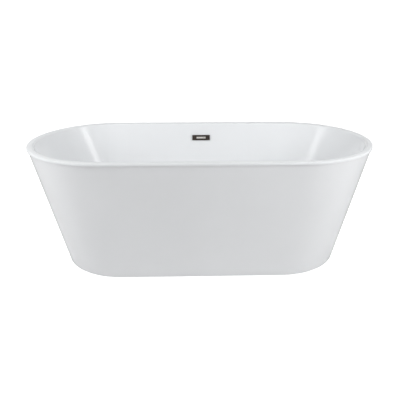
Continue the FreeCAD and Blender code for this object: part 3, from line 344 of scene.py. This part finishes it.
SLOT_MATERIALS = {
    "glass_fibre": GLASS_FIBRE,
    "adhesive": plain("sealant", (0.72, 0.72, 0.70), (0.80, 0.80, 0.78), (0.35, 0.5)),
    "plywood": plain("birch_ply", (0.50, 0.33, 0.18), (0.68, 0.50, 0.31), (0.5, 0.7),
                     grain=40, stretch=(0.3, 6, 6), bump=0.3),
    "frame_steel": plain("powder_coat", (0.17, 0.18, 0.19), (0.23, 0.24, 0.25), (0.45, 0.6), grain=500,
                         bump=0.25),
    "cap_plastic": plain("black_moulding", (0.02, 0.02, 0.02), (0.04, 0.04, 0.04), (0.4, 0.55), grain=300),
    "zinc_screw": plain("zinc_screws", (0.55, 0.54, 0.48), (0.72, 0.70, 0.62), (0.25, 0.4), 1, grain=120),
    "bracket_zinc": plain("galvanised", (0.45, 0.47, 0.48), (0.66, 0.68, 0.69), (0.3, 0.5), 1, grain=35),
    "nut_zinc": plain("zinc_nuts", *ZINC, (0.25, 0.4), 1, grain=120),
    "stud_zinc": plain("zinc_studs", *ZINC, (0.22, 0.38), 1, grain=120),
    "foot_plastic": plain("foot_moulding", (0.02, 0.02, 0.022), (0.045, 0.045, 0.05), (0.45, 0.6), grain=300),
    "drain_chrome": plain("drain_plating", *PLATING, bump=0.02),
    "stopper_chrome": plain("stopper_plating", *PLATING, bump=0.02),
    "stem_brass": plain("turned_brass", (0.55, 0.40, 0.17), (0.70, 0.54, 0.26), (0.2, 0.35), 1, grain=200),
    "cartridge_plastic": plain("cartridge_moulding", (0.70, 0.70, 0.68), (0.78, 0.78, 0.76), (0.35, 0.5)),
    "rubber_black": plain("gasket_rubber", (0.015, 0.015, 0.015), (0.03, 0.03, 0.03), (0.6, 0.8), grain=400),
    "waste_plastic": plain("waste_moulding", (0.74, 0.74, 0.72), (0.81, 0.81, 0.79), (0.35, 0.5), grain=90),
    "spring_steel": plain("spring_wire", (0.45, 0.45, 0.45), (0.6, 0.6, 0.6), (0.25, 0.4), 1, grain=200),
    "hose_plastic": plain("hose_moulding", (0.42, 0.43, 0.44), (0.52, 0.53, 0.54), (0.4, 0.6), grain=90),
    "clamp_steel": plain("clamp_band", (0.55, 0.56, 0.57), (0.7, 0.71, 0.72), (0.2, 0.35), 1, grain=90),
    "cover_bronze": plain("dark_bronze", (0.065, 0.052, 0.043), (0.095, 0.077, 0.065), (0.25, 0.38), 0.85,
                          **BRUSHED),
    "insert_light": plain("satin_insert", (0.80, 0.75, 0.69), (0.92, 0.87, 0.81), (0.25, 0.35), 0.4,
                          **BRUSHED),
    "screw_bronze": plain("bronze_screws", (0.05, 0.04, 0.034), (0.1, 0.08, 0.07), (0.3, 0.4), 0.85,
                          grain=120),
}


# ---------------------------------------------------------------- the bowl and the skirt

def lean(side):
    """How far the bowl's wall leans outwards, at its ends or its long sides."""
    return math.atan((OPENING[side] - FLOOR[side]) / 2 / (TUB_HEIGHT - FLOOR_HEIGHT))


def squeeze(side):
    """How far in from the wall's foot a curve that meets the wall begins, as a share of its radius."""
    return (1 - math.sin(lean(side))) / math.cos(lean(side))


def curve_height(grow):
    """The height of the curve between the floor and the wall, moved outwards by grow."""
    return FLOOR_CURVE + CURVE_GROWTH * grow


def bowl_line(side, grow, level):
    """The bowl's length or width on its straight wall, moved outwards by grow."""
    return FLOOR[side] + 2 * (level - FLOOR_HEIGHT) * math.tan(lean(side)) + 2 * grow / math.cos(lean(side))


def bowl_curve(side, grow, rise):
    """The bowl's length or width on the curve between its floor and wall, at a rise over the floor."""
    radius = curve_height(grow) / (1 - math.sin(lean(side)))
    foot = bowl_line(side, grow, FLOOR_HEIGHT - grow)
    return foot - 2 * radius * squeeze(side) + 2 * math.sqrt(rise * (2 * radius - rise))


def roll_curve(side, drop):
    """The bowl's length or width on the roll between its wall and the rim's top, at a drop under the top."""
    radius = RIM_ROLL / (1 - math.sin(lean(side)))
    return OPENING[side] + 2 * radius * squeeze(side) - 2 * math.sqrt(max(0, drop * (2 * radius - drop)))


def bowl_rings(grow, top, steps):
    """The bowl's rings from the floor's edge up its curve and wall, moved outwards by grow."""
    foot, tall = FLOOR_HEIGHT - grow, curve_height(grow)
    rings = []
    for _, cosine in quarter_turn(steps["curve"]):
        rise = tall * (1 - cosine)
        rings.append(ring_by(bowl_curve, foot + rise, grow, rise))
    for step in range(1, steps["wall"] + 1):
        level = foot + tall + (top - foot - tall) * step / steps["wall"]
        rings.append(ring_by(bowl_line, level, grow, level))
    return rings


def rim_size(side, inset):
    """The rim's outer length or width, moved inwards by inset."""
    return RIM[side] - 2 * inset


def rim_rings():
    """From the bowl's mouth over the rim and down the lip to its lower edge, and back up inside it."""
    rings = []
    for _, cosine in reversed(quarter_turn(ROLL_STEPS)[:-1]):
        drop = RIM_ROLL * (1 - cosine)
        rings.append(ring_by(roll_curve, TUB_HEIGHT - drop, drop))
    for sine, cosine in quarter_turn(ROLL_STEPS):
        rings.append(ring_by(rim_size, TUB_HEIGHT - LIP_ROUND * (1 - cosine), LIP_ROUND * (1 - sine)))
    low = TUB_HEIGHT - LIP_DROP
    for sine, cosine in quarter_turn(EDGE_STEPS):
        rings.append(ring_by(rim_size, low + LIP_EDGE_ROUND * (1 - sine), LIP_EDGE_ROUND * (1 - cosine)))
    for level in low, TUB_HEIGHT - RIM_THICK:
        rings.append(ring_by(rim_size, level, LIP_WALL))
    return rings


def floor_rings(grow):
    """Flat rings that blend from the dish's edge to the floor's outline, moved outwards by grow."""
    level = FLOOR_HEIGHT - grow
    dish, outline = circle_ring(DISH_RADIUS, level), ring_by(bowl_curve, level, grow, 0)
    return [[Vector((a.x * (1 - share) + b.x * share, a.y * (1 - share) + b.y * share, level))
             for a, b in zip(dish, outline)] for share in FLOOR_SHARES]


def make_basin():
    """The inner shell: the drain's seat, the dish, the floor, the bowl, the rim and the back of them all."""
    seat, back = FLOOR_HEIGHT - DISH_DEEP, FLOOR_HEIGHT - BOWL_WALL
    rings = [circle_ring(DRAIN_HOLE, BOSS_BASE), circle_ring(DRAIN_HOLE, seat),
             circle_ring(SEAT_RADIUS, seat)]
    for step in range(1, DISH_STEPS + 1):
        share = step / DISH_STEPS
        ease = share * share * (3 - 2 * share)
        rings.append(circle_ring(SEAT_RADIUS + (DISH_RADIUS - SEAT_RADIUS) * share, seat + DISH_DEEP * ease))
    rings += floor_rings(0)
    rings += bowl_rings(0, TUB_HEIGHT - RIM_ROLL, BOWL_STEPS)
    rings += rim_rings()
    rings += reversed(bowl_rings(BOWL_WALL, TUB_HEIGHT - RIM_THICK, BACK_STEPS))
    rings += reversed(floor_rings(BOWL_WALL))
    rings += [circle_ring(BOSS_RADIUS, back), circle_ring(BOSS_RADIUS, BOSS_BASE)]
    basin = shell_object("basin_shell", rings, [INNER_ACRYLIC])
    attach(basin, "tub")
    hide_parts("inner_basin")


def skirt_size(side, inset, level):
    """The skirt's length or width at a level, moved inwards by inset."""
    top = RIM[side] - 2 * LIP_WALL - 2 * SKIRT_SLACK
    share = (level - SKIRT_GAP) / (SKIRT_TOP - SKIRT_GAP)
    return BASE[side] + (top - BASE[side]) * share - 2 * inset


def skirt_ring(inset, level):
    return ring_by(skirt_size, level, inset, level)


def make_skirt():
    """The outer shell, acrylic outside and glass fibre inside, with a flange at its top."""
    rings = [skirt_ring(SKIRT_EDGE_ROUND * (1 - sine), SKIRT_GAP + SKIRT_EDGE_ROUND * (1 - cosine))
             for sine, cosine in quarter_turn(EDGE_STEPS)]
    foot, steps = SKIRT_GAP + SKIRT_EDGE_ROUND, SKIRT_STEPS["outside"]
    rings += [skirt_ring(0, foot + (SKIRT_TOP - foot) * step / steps) for step in range(1, steps + 1)]
    outer_count = len(rings) - 1
    under_flange, steps = SKIRT_TOP - FLANGE_THICK, SKIRT_STEPS["inside"]
    rings += [skirt_ring(FLANGE_WIDTH, SKIRT_TOP), skirt_ring(FLANGE_WIDTH, under_flange),
              skirt_ring(SKIRT_WALL, under_flange)]
    rings += [skirt_ring(SKIRT_WALL, under_flange + (SKIRT_GAP - under_flange) * step / steps)
              for step in range(1, steps + 1)]
    skirt = shell_object("skirt_shell", rings, [SKIRT_ACRYLIC, GLASS_FIBRE],
                         lambda number: 0 if number < outer_count or number == len(rings) - 1 else 1)
    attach(skirt, "tub")
    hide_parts("outer_skirt")


# ---------------------------------------------------------------- studs, stopper cap and hose

def thread_rings(x, y, foot, top):
    """Rings up a rod whose radius follows a thread, chamfered at both ends."""
    rings = []
    count = round((top - foot) / THREAD_PITCH * THREAD_STEPS)
    for step in range(count + 1):
        level = foot + (top - foot) * step / count
        limit = STUD_RADIUS - max(0, STUD_CHAMFER - min(level - foot, top - level))
        ring = []
        for point in range(THREAD_POINTS):
            turn = 2 * math.pi * point / THREAD_POINTS
            phase = (level / THREAD_PITCH - point / THREAD_POINTS) % 1
            radius = min(limit, STUD_RADIUS - THREAD_DEEP * abs(2 * phase - 1))
            ring.append(Vector((x + radius * math.cos(turn), y + radius * math.sin(turn), level)))
        rings.append(ring)
    return rings


def hexagon_rings(x, y, foot, top):
    """A hexagon's rings, two corners on the X axis, bevelled at both ends."""
    corner = HEX_ACROSS / math.sqrt(3)
    return [round_ring(x, y, reach, level, 6) for level, reach in (
        (foot, corner - HEX_BEVEL), (foot + HEX_BEVEL / 2, corner),
        (top - HEX_BEVEL / 2, corner), (top, corner - HEX_BEVEL))]


def make_studs():
    """On each foot, a threaded stud with a hexagon for the spanner."""
    for place in FEET:
        low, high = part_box(f"foot_stud_{place}")
        x, y = (low[0] + high[0]) / 2, (low[1] + high[1]) / 2
        made = bmesh.new()
        add_rod(made, thread_rings(x, y, low[2], high[2]))
        add_rod(made, hexagon_rings(x, y, HEX_BASE, HEX_BASE + HEX_TALL))
        stud = piece_object(f"threaded_stud_{place}", made, [SLOT_MATERIALS["stud_zinc"]], STUD_SHARP)
        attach(stud, f"stud_{place}")
        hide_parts(f"foot_stud_{place}")


def make_stopper_cap():
    """The stopper's cap: rounded at its edge, with a shallow smooth dome."""
    low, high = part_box("stopper_cap")
    radius = (high[0] - low[0]) / 2
    flat, shoulder = radius - CAP_ROUND, high[2] - CAP_DOME
    profile = [(CAP_EYE, low[2])]
    profile += [(radius - CAP_ROUND * (1 - sine), low[2] + CAP_ROUND * (1 - cosine))
                for sine, cosine in quarter_turn(CAP_STEPS)]
    profile += [(radius - CAP_ROUND * (1 - cosine), shoulder - CAP_ROUND * (1 - sine))
                for sine, cosine in quarter_turn(CAP_STEPS)]
    for step in range(1, DOME_STEPS):
        reach = flat * (1 - step / DOME_STEPS)
        profile.append((reach, shoulder + CAP_DOME * (1 - (reach / flat) ** 2)))
    profile.append((CAP_EYE, high[2]))
    made = bmesh.new()
    add_rod(made, [round_ring(0, 0, reach, level, CAP_POINTS) for reach, level in profile])
    cap = piece_object("domed_stopper_cap", made, [SLOT_MATERIALS["stopper_chrome"]], CAP_SHARP)
    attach(cap, "stopper")
    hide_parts("stopper_cap")


def wall_point(up, out):
    """A point in the tub's middle plane, from its place on the overflow's wall."""
    tilt = lean("width")
    reach = bowl_line("width", 0, OVERFLOW_LEVEL) / 2
    return Vector((0, reach + up * math.sin(tilt) - out * math.cos(tilt),
                   OVERFLOW_LEVEL + up * math.cos(tilt) + out * math.sin(tilt)))


def hose_route():
    """The hose's start, its two directions, its two straight runs' lengths and its bend's radius and turn."""
    start = wall_point(DUCT_END, HOSE_DEPTH)
    down = (wall_point(DUCT_END - 1, HOSE_DEPTH) - start).normalized()
    corner = start + down * ((start.z - HOSE_END.z) / -down.z)
    ahead = (HOSE_END - corner).normalized()
    turn = down.angle(ahead)
    first, second = (corner - start).length, (HOSE_END - corner).length
    back_off = BEND_SHARE * min(first, second)
    return start, down, ahead, first - back_off, second - back_off, back_off / math.tan(turn / 2), turn


def hose_ring(route, along, radius):
    """A ring round the hose's line, by the distance along it."""
    start, down, ahead, first, _, bend, turn = route
    inward = (ahead - down * down.dot(ahead)).normalized()
    swept = min(max((along - first) / bend, 0), turn)
    heading = down * math.cos(swept) + inward * math.sin(swept)
    centre = start + down * min(along, first)
    centre += (down * math.sin(swept) + inward * (1 - math.cos(swept))) * bend
    centre += ahead * max(0, along - first - bend * turn)
    across = Vector((1, 0, 0))
    above = heading.cross(across)
    turns = [2 * math.pi * step / HOSE_POINTS for step in range(HOSE_POINTS)]
    return [centre + (across * math.cos(angle) + above * math.sin(angle)) * radius for angle in turns]


def make_hose():
    """A corrugated hose with a plain cuff at each end."""
    route = hose_route()
    _, _, _, first, second, bend, turn = route
    length = first + bend * turn + second
    ribbed = length - 2 * HOSE_CUFF
    ribs = round(ribbed / RIB_PITCH)
    middle, swell = (HOSE_RADIUS + HOSE_VALLEY) / 2, (HOSE_RADIUS - HOSE_VALLEY) / 2
    rings = [hose_ring(route, 0, HOSE_RADIUS)]
    for step in range(ribs * RIB_STEPS + 1):
        rings.append(hose_ring(route, HOSE_CUFF + ribbed * step / (ribs * RIB_STEPS),
                               middle + swell * math.cos(2 * math.pi * step / RIB_STEPS)))
    rings.append(hose_ring(route, length, HOSE_RADIUS))
    rings += [hose_ring(route, length * (1 - step / ribs), HOSE_BORE) for step in range(ribs + 1)]
    hose = shell_object("ribbed_hose", rings, [SLOT_MATERIALS["hose_plastic"]], sharp=HOSE_SHARP)
    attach(hose, "tub")
    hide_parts("overflow_hose")


# ---------------------------------------------------------------- the CAD nodes that stay

def dress_nodes():
    """Gives each CAD node that stays its slot's material. The two acrylic shells are replaced."""
    slots = {row["node"]: row["material_slot"] for row in frame["record"]["subparts"]}
    for name, node in frame["nodes"].items():
        if slots[name] in SLOT_MATERIALS:
            node.data.materials.clear()
            node.data.materials.append(SLOT_MATERIALS[slots[name]])


# ---------------------------------------------------------------- stage, lights and camera

# the sweep's flat floor, its curve up behind the tub and its back wall
SWEEP_FRONT, SWEEP_BACK, SWEEP_ROUND, SWEEP_TALL, SWEEP_REACH = 12.0, 7.0, 3.0, 7.0, 14.0
SWEEP_STEPS = 24
FLOOR_TINT = (0.78, 0.82)
FLOOR_GLOW = (0.9, 0.9, 0.9, 1)

SURROUND = 0.662
SURROUND_COLOUR = (0.975, 0.99, 1.0, 1)

LIGHTS = (
    {"name": "left_strip", "place": (-1.85, -0.84, 1.74), "aim": (0.66, 0.28, 0.55), "size": (0.62, 1.6),
     "power": 22.7},
    {"name": "right_strip", "place": (1.67, -1.23, 1.71), "aim": (-0.64, 0.30, 0.55), "size": (0.45, 1.6),
     "power": 23.7},
    {"name": "back_softbox", "place": (0, 4.2, 3.4), "aim": (0, 0, 0.4), "size": (4.0, 2.0),
     "power": 76.5, "glossy": False},
)

CAMERA_PLACE = Vector((-0.00494, -2.501455, 1.250421))
CAMERA_PITCH = 0.321
CAMERA_YAW = 0.033
CAMERA_ROLL = 0.003
CAMERA_LENS = 46.27
CAMERA_SENSOR = 36
CAMERA_SHIFT = (-0.0414, -0.0657)


def make_floor():
    """A pale sweep: the floor and a curve up to a back wall. It is white to the camera."""
    n = Nodes("pale_floor")
    n.link(n.ramp(n.noise(scale=3, detail=3), *FLOOR_TINT), "Color", n.shader, "Base Color")
    n.link(n.add("ShaderNodeLightPath"), "Is Camera Ray", n.shader, "Emission Strength")
    n.set(Roughness=0.9, Specular_IOR_Level=0.1, Emission_Color=FLOOR_GLOW)
    mesh = bpy.data.meshes.new("floor")
    made = bmesh.new()
    profile = [(-SWEEP_FRONT, 0)]
    profile += [(SWEEP_BACK + SWEEP_ROUND * sine, SWEEP_ROUND * (1 - cosine))
                for sine, cosine in quarter_turn(SWEEP_STEPS)]
    profile.append((SWEEP_BACK + SWEEP_ROUND, SWEEP_TALL))
    left, right = ([made.verts.new((x, y, z)) for y, z in profile] for x in (-SWEEP_REACH, SWEEP_REACH))
    for number in range(len(profile) - 1):
        face = made.faces.new((left[number], right[number], right[number + 1], left[number + 1]))
        face.smooth = True
    made.to_mesh(mesh)
    made.free()
    mesh.materials.append(n.material)
    floor = bpy.data.objects.new("floor", mesh)
    bpy.context.scene.collection.objects.link(floor)


def make_world():
    """A soft surround, brightest at the horizon and dark overhead, and plain white to the camera."""
    world = bpy.data.worlds.new("studio")
    world.use_nodes = True
    tree = world.node_tree
    background = tree.nodes["Background"]
    background.inputs["Color"].default_value = SURROUND_COLOUR
    place = tree.nodes.new("ShaderNodeTexCoord")
    split = tree.nodes.new("ShaderNodeSeparateXYZ")
    path = tree.nodes.new("ShaderNodeLightPath")
    square, fade, seen = (tree.nodes.new("ShaderNodeMath") for _ in range(3))
    square.operation, fade.operation, seen.operation = "MULTIPLY", "MULTIPLY_ADD", "MAXIMUM"
    fade.inputs[1].default_value, fade.inputs[2].default_value = -SURROUND, SURROUND
    for output, socket in (
            (place.outputs["Generated"], split.inputs["Vector"]),
            (split.outputs["Z"], square.inputs[0]), (split.outputs["Z"], square.inputs[1]),
            (square.outputs["Value"], fade.inputs[0]), (fade.outputs["Value"], seen.inputs[0]),
            (path.outputs["Is Camera Ray"], seen.inputs[1]),
            (seen.outputs["Value"], background.inputs["Strength"])):
        tree.links.new(output, socket)
    bpy.context.scene.world = world


def make_light(name, place, aim, size, power, glossy=True):
    """A rectangular soft light aimed at a point. One that isn't glossy doesn't show in reflections."""
    light = bpy.data.lights.new(name, "AREA")
    light.shape = "RECTANGLE"
    light.size, light.size_y = size
    light.energy = power
    lamp = bpy.data.objects.new(name, light)
    lamp.location = place
    lamp.rotation_euler = (Vector(aim) - Vector(place)).to_track_quat("-Z", "Y").to_euler()
    lamp.visible_glossy = glossy
    bpy.context.scene.collection.objects.link(lamp)


def make_camera():
    """The photograph's camera, fitted to the outlines of the rim and the foot."""
    data = bpy.data.cameras.new("camera")
    data.sensor_width = CAMERA_SENSOR
    data.lens = CAMERA_LENS
    data.shift_x, data.shift_y = CAMERA_SHIFT
    camera = bpy.data.objects.new("camera", data)
    camera.rotation_mode = "QUATERNION"
    ahead = Vector((math.sin(CAMERA_YAW) * math.cos(CAMERA_PITCH),
                    math.cos(CAMERA_YAW) * math.cos(CAMERA_PITCH), -math.sin(CAMERA_PITCH)))
    right = Vector((math.cos(CAMERA_YAW), -math.sin(CAMERA_YAW), 0))
    above = right.cross(ahead)
    tilted_right = right * math.cos(CAMERA_ROLL) + above * math.sin(CAMERA_ROLL)
    tilted_above = above * math.cos(CAMERA_ROLL) - right * math.sin(CAMERA_ROLL)
    turn = Matrix((tilted_right, tilted_above, -ahead)).transposed()
    camera.matrix_world = Matrix.Translation(CAMERA_PLACE) @ turn.to_4x4()
    bpy.context.scene.collection.objects.link(camera)
    bpy.context.scene.camera = camera


make_camera()
dress_nodes()
make_basin()
make_skirt()
make_studs()
make_stopper_cap()
make_hose()
make_floor()
make_world()
for settings in LIGHTS:
    make_light(**settings)
bpy.context.scene.view_settings.view_transform = "Standard"
